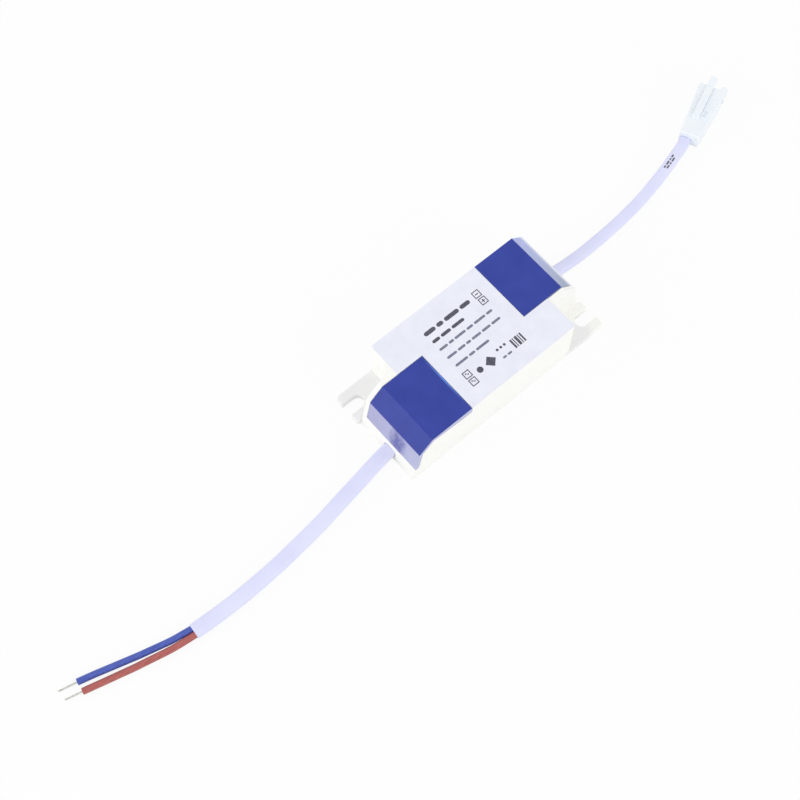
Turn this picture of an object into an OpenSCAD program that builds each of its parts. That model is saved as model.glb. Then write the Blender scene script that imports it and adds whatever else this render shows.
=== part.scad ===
// A small LED driver. A white tray and cover hold the circuit board, a sloped cover at each end closes
// the cable chambers, and two forked ears take the fixing screws. The input cable ends in stripped
// cores and the output cable in a two-way plug. Everything is in millimetres.
// +X runs along the case to the output end, +Z is up, and the origin is at the middle of the base.

/* [Case] */
// Width of the case across its long sides
case_width = 32; // [30:0.5:40]
// Length of the main box, between the two ear corners
main_length = 46.8; // [45:0.2:60]
// Height of the whole case
case_height = 17.6; // [17:0.2:24]
// Height of the tray's walls
tray_height = 5.4; // [5.2:0.1:6.4]
// Thickness of the side walls
wall = 1.6; // [1.2:0.1:2.2]
// Thickness of the tray's floor
floor_thickness = 1.6; // [1.2:0.1:2]
// Thickness of the roof
roof = 2; // [1.4:0.1:2.2]
// Radius of the main box's outer corners
corner_radius = 0.8; // [0.4:0.1:1.4]
// Height of the tray's lip, which stands up inside the cover's wall
lip_height = 1.2; // [0.8:0.1:1.8]
// Thickness of the lip
lip_thickness = 0.8; // [0.6:0.1:1.2]
// Clearance between the lip and the cover's wall
lip_gap = 0.1; // [0.05:0.05:0.2]
// How far the lip's snap beads stand out
bead = 0.35; // [0.25:0.05:0.5]
// Length of each snap bead
bead_length = 6; // [3:0.5:10]

/* [End covers] */
// Width of an end cover across the case
cover_width = 20.6; // [19:0.2:23]
// Thickness of an end cover
cover_thickness = 1.2; // [1:0.1:1.8]
// How far the skirt at an end cover's outer side hangs below it
skirt = 1.2; // [0.6:0.1:1.6]
// How far an end cover reaches into the main box
cover_inset = 8.8; // [7:0.2:10]
// Length of the flat top past the main box
top_reach = 5.3; // [4.5:0.1:8]
// Length of the slope along the case
slope_run = 4.4; // [3.5:0.1:6]
// Drop of the slope
slope_drop = 4; // [3:0.1:5]
// How far the end wall leans out by the time it reaches the base
end_lean = 2.5; // [1.5:0.1:3.5]
// Clearance round an end cover
cover_gap = 0.1; // [0.05:0.05:0.2]
// Width and height of the ledges that an end cover rests on
ledge = 1.2; // [0.8:0.1:1.6]
// Thickness of the rib that clamps the cable
clamp_thickness = 1.5; // [1:0.1:2]
// Distance of the clamp rib from the main box
clamp_reach = 5.8; // [5:0.1:7]
// Width of each snap clip of an end cover
clip_width = 4; // [3:0.1:5]
// Thickness of a clip's arm
clip_thickness = 1; // [0.8:0.1:1.4]
// How far a clip's hook reaches under the ledge
clip_hook = 0.6; // [0.4:0.1:0.9]

/* [Ears] */
// How far an ear reaches past the foot of the end wall
ear_reach = 0.9; // [0.4:0.1:3]
// Thickness of an ear
ear_thickness = 2.4; // [1.8:0.1:3]
// Radius of the hollow corner behind each ear
ear_fillet = 5.8; // [3:0.2:6.4]
// Radius of an ear's outer corners
ear_corner = 1; // [0.5:0.1:2]
// Width of the open slot in an ear
slot_width = 4; // [3.2:0.1:5]
// Distance from the ear's end to the middle of the slot's round end
slot_depth = 4; // [3:0.1:5.5]

/* [Films] */
// Thickness of the label films
film = 0.15; // [0.1:0.05:0.3]
// Bare margin round the label films
film_margin = 0.1; // [0.05:0.05:0.6]

/* [Cables] */
// Width of the flat input cable
input_wide = 4.4; // [3.8:0.1:4.8]
// Thickness of the flat input cable
input_thick = 2.9; // [2.4:0.1:3.2]
// Diameter of each insulated core
core_diameter = 1.9; // [1.4:0.1:2]
// Diameter of each tinned conductor
tip_diameter = 0.5; // [0.4:0.05:0.9]
// Width of the flat output cable
output_wide = 3.6; // [3.2:0.1:4.4]
// Thickness of the flat output cable
output_thick = 2.5; // [2.2:0.1:3]
// Clearance of a cable in its hole in the tray
cable_gap = 0.15; // [0.05:0.05:0.3]
// Height of the cables' undersides above the base, inside the case
cable_bed = 0.6; // [0.5:0.1:1]
// Diameter of the leads inside the case
lead_diameter = 1.4; // [1:0.1:1.6]

/* [Plug] */
// Length of the plug's housing
plug_length = 19.2; // [18:0.2:24]
// Width of the plug's housing
plug_width = 8.4; // [7.4:0.1:9]
// Height of the plug's housing
plug_height = 6; // [5.6:0.1:7]
// Wall thickness round the plug's mouth
plug_wall = 0.9; // [0.7:0.05:1.2]
// Depth of the plug's mouth
mouth_depth = 8; // [7:0.2:9]
// Width of the plug's back, from which its sides spread
plug_back_width = 6.2; // [5.6:0.1:7.4]
// Length of the stretch over which the sides spread
plug_spread = 15; // [8:0.5:16]
// How far the plug's underside rises at its back
back_rise = 1.2; // [0.6:0.1:1.6]
// Width of the latch arm
latch_width = 2.2; // [2:0.1:3]
// How far the latch arm lies off the plug's middle
latch_shift = 0.9; // [0:0.1:1.2]
// How far the latch arm reaches past the mouth
latch_reach = 3.2; // [1.8:0.1:4]
// How far the key at one corner of the plug reaches past the mouth
key_reach = 1.6; // [0.8:0.1:2]
// Distance between the two contacts
contact_pitch = 2.5; // [2:0.1:2.8]
// Diameter of each contact pin
contact_diameter = 1; // [0.8:0.05:1.2]

/* [Board] */
// Thickness of the circuit board
board_thickness = 1.2; // [1:0.1:1.4]
// Height of the posts under the board, above the floor
post_height = 2.2; // [2:0.1:2.4]
// Diameter of the posts
post_diameter = 4; // [3:0.2:5]
// Clearance between the board and the tray's lip
board_gap = 0.4; // [0.2:0.05:0.8]
// Length of the transformer's core
core_length = 11; // [9.5:0.1:11.6]
// Width of the transformer's core
core_width = 10.2; // [9.5:0.1:10.8]
// Thickness of the transformer's core
core_thickness = 4.8; // [4:0.1:5.2]
// Diameter of the input capacitor
input_cap_d = 8; // [6:0.1:8.2]
// Length of the input capacitor
input_cap_l = 11; // [9:0.1:11.6]
// Diameter of the output capacitor
output_cap_d = 6.3; // [5:0.1:6.8]
// Height of the output capacitor
output_cap_h = 8.4; // [7:0.1:8.8]

/* [Hidden] */
$fn = 48;

// Length that a cutting shape runs past what it cuts
past = 1;

// The case's end profile: the flat top folds into a slope, which turns at a knee into the leaning wall
fold_x = main_length / 2 + top_reach;
knee_x = fold_x + slope_run;
foot_x = knee_x + end_lean;
knee_z = case_height - slope_drop;
slope_angle = atan2(slope_drop, slope_run);
wall_angle = atan2(knee_z, end_lean);
turn_angle = (wall_angle + slope_angle) / 2;
turn_stretch = cos((wall_angle - slope_angle) / 2);

// Points of that profile at a depth below the surface
function fold_at(depth) = [fold_x - depth * tan(slope_angle / 2), case_height - depth];
function knee_at(depth) = [knee_x - depth * sin(turn_angle) / turn_stretch,
    knee_z - depth * cos(turn_angle) / turn_stretch];
function foot_at(depth) = [foot_x - depth / sin(wall_angle), 0];
function half_profile(depth) = [fold_at(depth), knee_at(depth), foot_at(depth)];
function end_at(height, depth) = foot_at(depth).x - height * end_lean / knee_z;

half_width = case_width / 2;
cover_x = main_length / 2 - cover_inset;
cover_y = half_width - cover_width;
block_side = cover_width + wall - half_width;
cable_y = half_width - cover_width / 2;
chamber_end = end_at(tray_height + lip_height, cover_thickness);
lip_root = 1.5;

ear_end = foot_x + ear_reach;
ear_width = half_width - block_side;

bead_x = 9;
bead_z = tray_height + lip_height / 2;

// A cable's sheath ends inside the case, and its bed in the floor runs on a little for the leads
sheath_end = 27;
bed_spare = 3;
cheek_thickness = 1.2;
cheek_length = 3.4;
clamp_width = 8;
clamp_x = main_length / 2 + clamp_reach;
clip_pitch = 10;
clip_height = 1;
skirt_flat = 3;
ledge_z = case_height - roof - ledge;

lip_inset = lip_gap + lip_thickness;
board_length = main_length - 2 * (wall + lip_inset + board_gap);
board_width = case_width - 2 * (wall + lip_inset + board_gap);
board_z = floor_thickness + post_height;
board_top = board_z + board_thickness;
post_inset = 2.6;

// The plug lies in line with the end of the output cable, which enters it a little off its middle
plug_place = [98.8, 12.1, 0];
plug_angle = 23;
plug_middle = plug_height / 2;
plug_way = [cos(plug_angle), sin(plug_angle), 0];
entry_shift = 0.9;
plug_entry = plug_place + [-sin(plug_angle) * entry_shift, cos(plug_angle) * entry_shift, plug_middle];

// Routes of the cords, each point in the middle of the cord
input_route = [[-sheath_end, -5.7, 2.05], [-31, -5.7, 2.05], [-35.6, -5.7, 2.05], [-40, -6.1, 1.8],
    [-44, -6.7, 1.6], [-48, -7.3, 1.5], [-53, -8.1, 1.5], [-58, -8.9, 1.5], [-63, -9.7, 1.5],
    [-68, -10.3, 1.5], [-73, -10.8, 1.5], [-78, -11.3, 1.5], [-83, -11.6, 1.5], [-88, -11.8, 1.5],
    [-93, -11.9, 1.5], [-98, -11.8, 1.5], [-103, -11.6, 1.5], [-107.4, -11.3, 1.5]];
blue_route = [[-107.6, -10.3, 1.5], [-110, -9.9, 1.4], [-113, -9.3, 1.1], [-116, -8.5, 0.95],
    [-119, -7.7, 0.95], [-122, -6.9, 0.95], [-125, -6, 0.95], [-128, -5.1, 0.95], [-131, -4.2, 0.95],
    [-134, -3.3, 0.95], [-138.4, -2.1, 0.95]];
red_route = [[-107.6, -12.2, 1.5], [-110, -11.9, 1.4], [-113, -11.4, 1.1], [-116, -10.8, 0.95],
    [-119, -10.1, 0.95], [-122, -9.4, 0.95], [-125, -8.7, 0.95], [-128, -7.9, 0.95], [-131, -7.1, 0.95],
    [-134, -6.3, 0.95], [-138.8, -5, 0.95]];
output_route = [[sheath_end, 5.7, 1.85], [31, 5.7, 1.85], [35.6, 5.7, 1.85], [40, 5.4, 1.6], [44, 5.2, 1.4],
    [48, 5.1, 1.3], [53, 5.2, 1.3], [58, 5.4, 1.3], [63, 5.7, 1.3], [68, 6.2, 1.3],
    [73, 6.8, 1.3], [78, 7.7, 1.3], [83, 8.7, 1.5], [88, 9.8, 2], [92, 10.8, 2.6],
    plug_entry - 3 * plug_way, plug_entry];
blue_tip = [-143.5, -0.8, 0.6];
red_tip = [-143.5, -3.7, 0.6];

// Sizes and places on the plug, from its back
contact_start = 7;
contact_gap = 0.05;
latch_start = 6;
latch_root = 1.6;
latch_thickness = 0.6;
latch_spring = 0.25;
latch_hook = 0.6;
lance_start = 7.9;
lance_length = 2.2;
lance_width = 1.2;
lance_depth = 0.4;
key_length = 2.5;
key_width = 2.1;
key_height = 2.6;
key_step = 0.3;
back_run = 3;

// Sizes and places of the parts on the board, from its middle
leg = 0.6;
transformer_at = [4.5, 3.4];
core_outer_leg = 1.2;
core_middle_leg = 2.4;
core_yoke = 1.3;
core_fit = 0.1;
bobbin_wall = 0.6;
bobbin_flange = 0.5;
winding_half = 4;
winding_corner = 1;
flange_rim = 0.2;
rail_depth = 2.4;
rail_reach = 1.4;
core_z = board_top + rail_depth + core_thickness / 2;
window_width = (core_width - 2 * core_outer_leg - core_middle_leg) / 2;
window_length = core_length - 2 * core_yoke;
tube_width = core_middle_leg + 2 * (core_fit + bobbin_wall);
tube_height = core_thickness + 2 * (core_fit + bobbin_wall);
flange_half = core_middle_leg / 2 + window_width - core_fit;
flange_tall = winding_half + flange_rim;
bobbin_length = window_length - 2 * core_fit;
rail_start = bobbin_length / 2 - bobbin_flange;

edge_room = 0.7;
input_cap_at = [-5.6, input_cap_d / 2 + edge_room - board_width / 2];
output_cap_at = [15.6, output_cap_d / 2 + edge_room - board_width / 2];
pin_reach = 1;
pin_size = [0.4, 0.2];
pin_pitch = 1.27;
bridge_size = [4.8, 3.9, 1.5];
bridge_at = [-15, bridge_size.y / 2 + pin_reach + edge_room - board_width / 2];
chip_at = [-7, 1.4];
chip_size = [4.9, 3.9, 1.4];
fuse_at = [-17, 6.4];
fuse_d = 3.2;
fuse_l = 8;
lead_bend = 1.5;
choke_d = 6;
choke_at = [-8.4, board_width / 2 - edge_room - choke_d / 2];
choke_h = 8;
choke_waist = 4.6;
choke_flange = 1.2;
diode_at = [14.6, 0];
diode_size = [4.3, 2.6, 2.2];
diode_tab = 0.5;
disc_d = 7;
disc_thick = 2.8;
disc_at = [3.6, board_width / 2 - edge_room - disc_thick / 2];
disc_lift = 1.4;
disc_pitch = 5;
chip_part = [2, 1.25, 0.5];
chip_parts_at = [[3, -3.2], [6, -3.2], [9, -3.2], [-12.6, 2], [-12.6, 5], [10, -6.5]];
lead_spread = 0.95;
lead_start = 1;
lead_end = 1.6;
lead_lift = 0.05;

// The same shape at both ends, turned half round
module both_ends() {
    for (turn = [0, 180])
        rotate(turn)
            children();
}

// A rectangle about the origin with round corners
module rounded_plan(length, width, radius) {
    square([length - 2 * radius, width], center = true);
    square([length, width - 2 * radius], center = true);
    for (x = [-1, 1], y = [-1, 1])
        translate([x * (length / 2 - radius), y * (width / 2 - radius)])
            circle(radius);
}

// Outline of the case seen from above
module case_plan() {
    rounded_plan(main_length, case_width, corner_radius);
    both_ends() {
        translate([0, -block_side])
            square([foot_x, block_side + half_width]);
        translate([main_length / 2, -block_side - ear_fillet])
            difference() {
                square(ear_fillet);
                translate([ear_fillet, 0])
                    circle(ear_fillet);
            }
    }
}

// Room inside the walls seen from above, drawn in by an inset, with the chambers ending at end_x
module room_plan(inset, end_x) {
    square([main_length - 2 * (wall + inset), case_width - 2 * (wall + inset)], center = true);
    both_ends()
        translate([0, -block_side + wall + inset])
            square([end_x - inset, block_side + half_width - 2 * (wall + inset)]);
}

// The case's side profile at a depth below its surface, run across the case
module profile_prism(depth) {
    half = half_profile(depth);
    other = [for (i = [len(half) - 1 : -1 : 0]) [-half[i].x, half[i].y]];
    translate([0, half_width + past, 0])
        rotate([90, 0, 0])
            linear_extrude(case_width + 2 * past)
                polygon(concat(half, other));
}

// The solid outside shape of the case between two heights
module case_block(low, high) {
    intersection() {
        translate([0, 0, low])
            linear_extrude(high - low)
                case_plan();
        profile_prism(0);
    }
}

module ear() {
    length = ear_end - main_length / 2;
    translate([main_length / 2 - wall, -half_width, 0])
        difference() {
            linear_extrude(ear_thickness)
                union() {
                    square([length + wall - ear_corner, ear_width]);
                    translate([0, ear_corner])
                        square([length + wall, ear_width - 2 * ear_corner]);
                    for (y = [ear_corner, ear_width - ear_corner])
                        translate([length + wall - ear_corner, y])
                            circle(ear_corner);
                }
            translate([length + wall - slot_depth, ear_width / 2, -past])
                cylinder(d = slot_width, h = ear_thickness + 2 * past);
            translate([length + wall - slot_depth, ear_width / 2 - slot_width / 2, -past])
                cube([slot_depth + past, slot_width, ear_thickness + 2 * past]);
        }
}

// Hole in the tray's end wall that a flat cable comes out of, and its bed in the floor
module cable_hole(wide, thick) {
    radius = thick / 2 + cable_gap;
    shift = (wide - thick) / 2;
    length = foot_x + past - sheath_end + bed_spare;
    translate([sheath_end - bed_spare, cable_y, cable_bed + thick / 2]) {
        for (side = [-1, 1])
            translate([0, side * shift, 0])
                rotate([0, 90, 0])
                    cylinder(r = radius, h = length);
        translate([0, -shift, -radius])
            cube([length, 2 * shift, 2 * radius]);
    }
}

// Two cheeks that keep a cable under its clamp
module cable_cheeks(wide, thick) {
    shift = (wide + cheek_thickness) / 2 + cable_gap;
    for (side = [-1, 1])
        translate([clamp_x + (clamp_thickness - cheek_length) / 2,
                cable_y + side * shift - cheek_thickness / 2, cable_bed])
            cube([cheek_length, cheek_thickness, thick - cable_gap]);
}

// Snap beads on the long sides of the tray's lip, or with a clearance the grooves that take them
module snap_beads(clearance) {
    reach = bead + clearance;
    face = half_width - wall - lip_gap;
    for (x = [-1, 1], turn = [0, 180])
        rotate(turn)
            translate([x * bead_x - bead_length / 2 - clearance, face, bead_z])
                rotate([90, 0, 90])
                    linear_extrude(bead_length + 2 * clearance)
                        polygon([[-lip_thickness / 2, -reach], [0, -reach], [reach, 0], [0, reach],
                            [-lip_thickness / 2, reach]]);
}

module base_tray() {
    color("white") {
        difference() {
            union() {
                case_block(0, tray_height);
                translate([0, 0, tray_height - lip_root])
                    linear_extrude(lip_root + lip_height)
                        room_plan(lip_gap, chamber_end);
            }
            translate([0, 0, floor_thickness])
                linear_extrude(case_height)
                    room_plan(lip_inset, chamber_end);
            translate([0, 0, floor_thickness])
                linear_extrude(tray_height - lip_root - floor_thickness)
                    room_plan(0, chamber_end);
            cable_hole(output_wide, output_thick);
            rotate(180)
                cable_hole(input_wide, input_thick);
        }
        snap_beads(0);
        both_ends()
            ear();
        cable_cheeks(output_wide, output_thick);
        rotate(180)
            cable_cheeks(input_wide, input_thick);
        for (x = [-1, 1], y = [-1, 1])
            translate([x * (board_length / 2 - post_inset), y * (board_width / 2 - post_inset), 0])
                cylinder(d = post_diameter, h = board_z);
    }
}

// Skirt along an end cover's outer side, level at first and then rising to the fold
module cover_skirt(clearance) {
    high = case_height - cover_thickness / 2;
    low = case_height - cover_thickness - skirt;
    translate([0, half_width + clearance, 0])
        rotate([90, 0, 0])
            linear_extrude(wall + 2 * clearance)
                polygon([[cover_x - clearance, low], [cover_x + skirt_flat, low],
                    [fold_x, case_height - cover_thickness], [fold_x, high], [cover_x - clearance, high]]);
}

// Room that an end cover takes out of the top cover
module cover_room() {
    difference() {
        translate([cover_x - cover_gap, cover_y - cover_gap, 0])
            cube([foot_x, cover_width + past, case_height + past]);
        profile_prism(cover_thickness);
    }
    cover_skirt(cover_gap);
}

// Ledges that run from the roof's edge under an end cover and carry it, rooted in the roof
module cover_ledges() {
    intersection() {
        translate([0, 0, ledge_z])
            linear_extrude(case_height)
                union() {
                    translate([cover_x - ledge, cover_y])
                        square([2 * ledge, half_width - wall / 2 - cover_y]);
                    translate([cover_x - ledge, cover_y - ledge])
                        square([foot_x, 2 * ledge]);
                }
        profile_prism(cover_thickness / 2);
    }
}

module top_cover() {
    color("white")
        difference() {
            union() {
                difference() {
                    case_block(tray_height, case_height);
                    intersection() {
                        linear_extrude(case_height)
                            room_plan(0, foot_x);
                        profile_prism(roof);
                    }
                    both_ends()
                        translate([cover_x, cover_y, 0])
                            cube([foot_x, cover_width - wall, case_height + past]);
                }
                both_ends()
                    cover_ledges();
            }
            both_ends()
                cover_room();
            snap_beads(lip_gap);
        }
}

// Two snap clips that hook an end cover under the ledge at its inner end
module cover_clips() {
    arm_x = cover_x + ledge + cover_gap;
    hook_top = ledge_z - cover_gap;
    low = hook_top - clip_height;
    for (side = [-1, 1])
        translate([arm_x, cable_y + side * clip_pitch / 2 - clip_width / 2, low]) {
            cube([clip_thickness, clip_width, case_height - cover_thickness / 2 - low]);
            translate([-clip_hook, 0, 0])
                cube([clip_hook + clip_thickness, clip_width, clip_height]);
        }
}

// An end cover, as it lies at the output end, with a rib that clamps a cable of some thickness
module end_cover(thick) {
    difference() {
        intersection() {
            case_block(tray_height, case_height);
            translate([cover_x, cover_y, 0])
                cube([foot_x, cover_width, case_height]);
        }
        profile_prism(cover_thickness);
    }
    intersection() {
        translate([clamp_x, cable_y - clamp_width / 2, cable_bed + thick])
            cube([clamp_thickness, clamp_width, case_height]);
        profile_prism(cover_thickness / 2);
    }
    cover_skirt(0);
    cover_clips();
}

module input_cover() {
    color("lavender")
        rotate(180)
            end_cover(input_thick);
}

module output_cover() {
    color("lavender")
        end_cover(output_thick);
}

module rating_label() {
    color("ghostwhite")
        translate([0, 0, case_height])
            linear_extrude(film)
                difference() {
                    rounded_plan(main_length - 2 * film_margin, case_width - 2 * film_margin,
                        corner_radius);
                    both_ends()
                        translate([cover_x - film_margin, cover_y - film_margin])
                            square([foot_x, case_width]);
                }
}

// A film on an end cover, down to a height and out to a length
module cover_film(low, reach) {
    intersection() {
        difference() {
            profile_prism(-film);
            profile_prism(0);
        }
        translate([cover_x + film_margin, cover_y + film_margin, low])
            cube([reach - cover_x - film_margin, cover_width - 2 * film_margin, case_height]);
    }
}

module input_label() {
    color("royalblue")
        rotate(180)
            cover_film(knee_z, foot_x);
}

module output_label() {
    color("royalblue")
        cover_film(knee_z, fold_x);
}

// A cord swept along a route, with an oval section that lies flat
function along(route, i) =
    let (step = route[min(i + 1, len(route) - 1)] - route[max(i - 1, 0)]) step / norm(step);
function across(way) = let (flat = cross([0, 0, 1], way)) flat / norm(flat);
function oval(middle, way, wide, thick, sides) = [
    for (k = [0 : sides - 1])
        let (turn = 360 * (k + 0.5) / sides)
            middle + across(way) * cos(turn) * wide / 2 + cross(way, across(way)) * sin(turn) * thick / 2
];
module cord(route, wide, thick, sides) {
    count = len(route);
    points = [for (i = [0 : count - 1]) each oval(route[i], along(route, i), wide, thick, sides)];
    first = [for (k = [0 : sides - 1]) k];
    last = [for (k = [sides - 1 : -1 : 0]) (count - 1) * sides + k];
    skin = [
        for (i = [0 : count - 2], k = [0 : sides - 1])
            let (next = (k + 1) % sides)
                [i * sides + next, i * sides + k, (i + 1) * sides + k, (i + 1) * sides + next]
    ];
    polyhedron(points, concat([first], skin, [last]));
}

module input_cable() {
    color("lavender")
        cord(input_route, input_wide, input_thick, 12);
}

module output_cable() {
    color("lavender")
        cord(output_route, output_wide, output_thick, 8);
}

module blue_core() {
    color("royalblue")
        cord(blue_route, core_diameter, core_diameter, 8);
}

module red_core() {
    color("indianred")
        cord(red_route, core_diameter, core_diameter, 8);
}

// A tinned end leaves its core straight, then runs to its tip
function tip_route(core, tip) = let (last = len(core) - 1, root = core[last])
    [root, root + tip_diameter * along(core, last), tip];

module tinned_ends() {
    color("silver") {
        cord(tip_route(blue_route, blue_tip), tip_diameter, tip_diameter, 8);
        cord(tip_route(red_route, red_tip), tip_diameter, tip_diameter, 8);
    }
}

// Places a shape in the plug, with X along it from its back and Z up from the surface it lies on
module in_plug() {
    translate(plug_place)
        rotate(plug_angle)
            children();
}

// Both contacts' places, along the plug
module at_contacts() {
    for (side = [-1, 1])
        translate([contact_start, side * contact_pitch / 2, plug_middle])
            rotate([0, 90, 0])
                children();
}

// The plug's body without its mouth: the sides spread from its back, and the underside comes down
module plug_body() {
    half_back = plug_back_width / 2;
    half_front = plug_width / 2;
    intersection() {
        linear_extrude(plug_height)
            polygon([[0, -half_back], [plug_spread, -half_front], [plug_length, -half_front],
                [plug_length, half_front], [plug_spread, half_front], [0, half_back]]);
        translate([0, half_front, 0])
            rotate([90, 0, 0])
                linear_extrude(plug_width)
                    polygon([[0, back_rise], [back_run, 0], [plug_length, 0],
                        [plug_length, plug_height], [0, plug_height]]);
    }
}

// A sprung arm along the top with a hook at its end
module plug_latch() {
    length = plug_length + latch_reach - latch_start;
    translate([latch_start, latch_shift - latch_width / 2, plug_height]) {
        cube([latch_root, latch_width, latch_spring + latch_thickness]);
        translate([0, 0, latch_spring])
            cube([length, latch_width, latch_thickness]);
        translate([length - latch_hook, 0, 0])
            cube([latch_hook, latch_width, latch_spring + latch_thickness]);
    }
}

// An angle at one upper corner of the mouth, which lets the plug in only one way round
module plug_key() {
    length = key_length + key_reach;
    translate([plug_length - key_length, -plug_width / 2 - key_step, plug_height - key_height])
        difference() {
            cube([length, key_width, key_height]);
            translate([-past, key_step + plug_wall, -past])
                cube([length + 2 * past, key_width, key_height - plug_wall + past]);
        }
}

module plug_housing() {
    inner_width = plug_width - 2 * plug_wall;
    inner_height = plug_height - 2 * plug_wall;
    color("white")
        in_plug() {
            difference() {
                plug_body();
                translate([plug_length - mouth_depth, -inner_width / 2, plug_wall])
                    cube([mouth_depth + past, inner_width, inner_height]);
                at_contacts()
                    cylinder(d = contact_diameter + 2 * contact_gap, h = plug_length);
                for (side = [-1, 1])
                    translate([lance_start, (side * contact_pitch - lance_width) / 2,
                            plug_height - lance_depth])
                        cube([lance_length, lance_width, lance_depth + past]);
            }
            plug_latch();
            plug_key();
        }
}

module plug_contacts() {
    color("silver")
        in_plug()
            at_contacts()
                cylinder(d = contact_diameter, h = plug_length - contact_start - past);
}

module circuit_board() {
    color("darkgreen")
        translate([0, 0, board_z])
            linear_extrude(board_thickness)
                square([board_length, board_width], center = true);
}

// Places a shape on the board's top
module on_board(at) {
    translate([at.x, at.y, board_top])
        children();
}

// Places a shape at the middle of the transformer
module in_transformer() {
    translate([transformer_at.x, transformer_at.y, core_z])
        children();
}

module transformer_core() {
    color("dimgray")
        in_transformer()
            difference() {
                cube([core_length, core_width, core_thickness], center = true);
                for (side = [-1, 1])
                    translate([0, side * (core_middle_leg + window_width) / 2, 0])
                        cube([window_length, window_width, core_thickness + past], center = true);
            }
}

module transformer_bobbin() {
    color("black") {
        in_transformer()
            difference() {
                union() {
                    cube([bobbin_length, tube_width, tube_height], center = true);
                    for (side = [-1, 1])
                        translate([side * (bobbin_length - bobbin_flange) / 2, 0, 0])
                            cube([bobbin_flange, 2 * flange_half, 2 * flange_tall], center = true);
                }
                cube([core_length, core_middle_leg + 2 * core_fit, core_thickness + 2 * core_fit],
                    center = true);
            }
        on_board(transformer_at)
            both_ends()
                translate([rail_start, -core_width / 2, 0])
                    cube([core_length / 2 + rail_reach - rail_start, core_width, rail_depth]);
    }
}

module transformer_winding() {
    length = bobbin_length - 2 * bobbin_flange;
    color("gold")
        in_transformer()
            rotate([0, 90, 0])
                translate([0, 0, -length / 2])
                    linear_extrude(length)
                        difference() {
                            rounded_plan(2 * winding_half, 2 * flange_half - 2 * core_fit, winding_corner);
                            square([tube_height, tube_width], center = true);
                        }
}

// A capacitor can along Z, with its crimped neck at the bottom
module capacitor_can(diameter, length) {
    neck = 1.6;
    groove = 0.3;
    rotate_extrude()
        polygon([[0, 0], [diameter / 2, 0], [diameter / 2, neck], [diameter / 2 - groove, neck + groove],
            [diameter / 2, neck + 2 * groove], [diameter / 2, length - groove],
            [diameter / 2 - groove, length], [0, length]]);
}

module input_capacitor() {
    color("darkslategray")
        on_board(input_cap_at) {
            translate([-input_cap_l / 2, 0, input_cap_d / 2])
                rotate([0, 90, 0])
                    capacitor_can(input_cap_d, input_cap_l);
            for (side = [-1, 1]) {
                translate([-input_cap_l / 2 - leg, side * lead_bend, input_cap_d / 2])
                    rotate([0, 90, 0])
                        cylinder(d = leg, h = 2 * leg);
                translate([-input_cap_l / 2 - leg, side * lead_bend, 0])
                    cylinder(d = leg, h = input_cap_d / 2 + leg / 2);
            }
        }
}

module output_capacitor() {
    color("darkslategray")
        on_board(output_cap_at)
            capacitor_can(output_cap_d, output_cap_h);
}

// A flat package with rows of pins on two sides
module flat_package(size, pins) {
    lift = pin_size.y;
    translate([-size.x / 2, -size.y / 2, lift])
        cube(size);
    for (side = [-1, 1], i = [0 : pins - 1])
        translate([(i - (pins - 1) / 2) * pin_pitch - pin_size.x / 2, side > 0 ? size.y / 2 - pin_size.y
                : -size.y / 2 - pin_reach + pin_size.y, 0])
            cube([pin_size.x, pin_reach, 2 * lift]);
}

module bridge_rectifier() {
    color("black")
        on_board(bridge_at)
            flat_package(bridge_size, 2);
}

module driver_chip() {
    color("black")
        on_board(chip_at)
            flat_package(chip_size, 4);
}

module fuse_resistor() {
    color("tan")
        on_board(fuse_at) {
            translate([0, fuse_l / 2, fuse_d / 2])
                rotate([90, 0, 0])
                    cylinder(d = fuse_d, h = fuse_l);
            translate([0, fuse_l / 2 + lead_bend, fuse_d / 2])
                rotate([90, 0, 0])
                    cylinder(d = leg, h = fuse_l + 2 * lead_bend);
            for (side = [-1, 1])
                translate([0, side * (fuse_l / 2 + lead_bend), 0])
                    cylinder(d = leg, h = fuse_d / 2 + leg / 2);
        }
}

module filter_choke() {
    color("saddlebrown")
        on_board(choke_at)
            rotate_extrude()
                polygon([[0, 0], [choke_d / 2, 0], [choke_d / 2, choke_flange],
                    [choke_waist / 2, choke_flange], [choke_waist / 2, choke_h - choke_flange],
                    [choke_d / 2, choke_h - choke_flange], [choke_d / 2, choke_h], [0, choke_h]]);
}

module output_diode() {
    color("black")
        on_board(diode_at) {
            translate([-diode_size.x / 2, -diode_size.y / 2, 0])
                cube(diode_size);
            translate([-diode_size.x / 2 - diode_tab, -diode_size.y / 4, 0])
                cube([diode_size.x + 2 * diode_tab, diode_size.y / 2, diode_size.z / 2]);
        }
}

module safety_capacitor() {
    color("steelblue")
        on_board(disc_at) {
            translate([0, disc_thick / 2, disc_lift + disc_d / 2])
                rotate([90, 0, 0])
                    cylinder(d = disc_d, h = disc_thick);
            for (side = [-1, 1])
                translate([side * disc_pitch / 2, 0, 0])
                    cylinder(d = leg, h = disc_lift + disc_d / 2);
        }
}

module chip_resistors() {
    color("darkslategray")
        for (at = chip_parts_at)
            on_board(at)
                translate([-chip_part.x / 2, -chip_part.y / 2, 0])
                    cube(chip_part);
}

// A cable's two inner leads, from the end of its sheath up to the board, as they lie at the output end
module inner_leads(sheath) {
    edge = board_length / 2;
    top = board_top + lead_diameter / 2 + lead_lift;
    for (side = [-1, 1])
        let (y = sheath.y + side * lead_spread)
            cord([[sheath.x, y, sheath.z], [sheath.x - lead_start, y, sheath.z],
                    [edge + lead_end, y, top - lead_lift], [edge, y, top + lead_lift],
                    [edge - lead_end, y, top]],
                lead_diameter, lead_diameter, 8);
}

module input_leads() {
    color("firebrick")
        rotate(180)
            inner_leads([-input_route[0].x, -input_route[0].y, input_route[0].z]);
}

module output_leads() {
    color("firebrick")
        inner_leads(output_route[0]);
}

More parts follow.
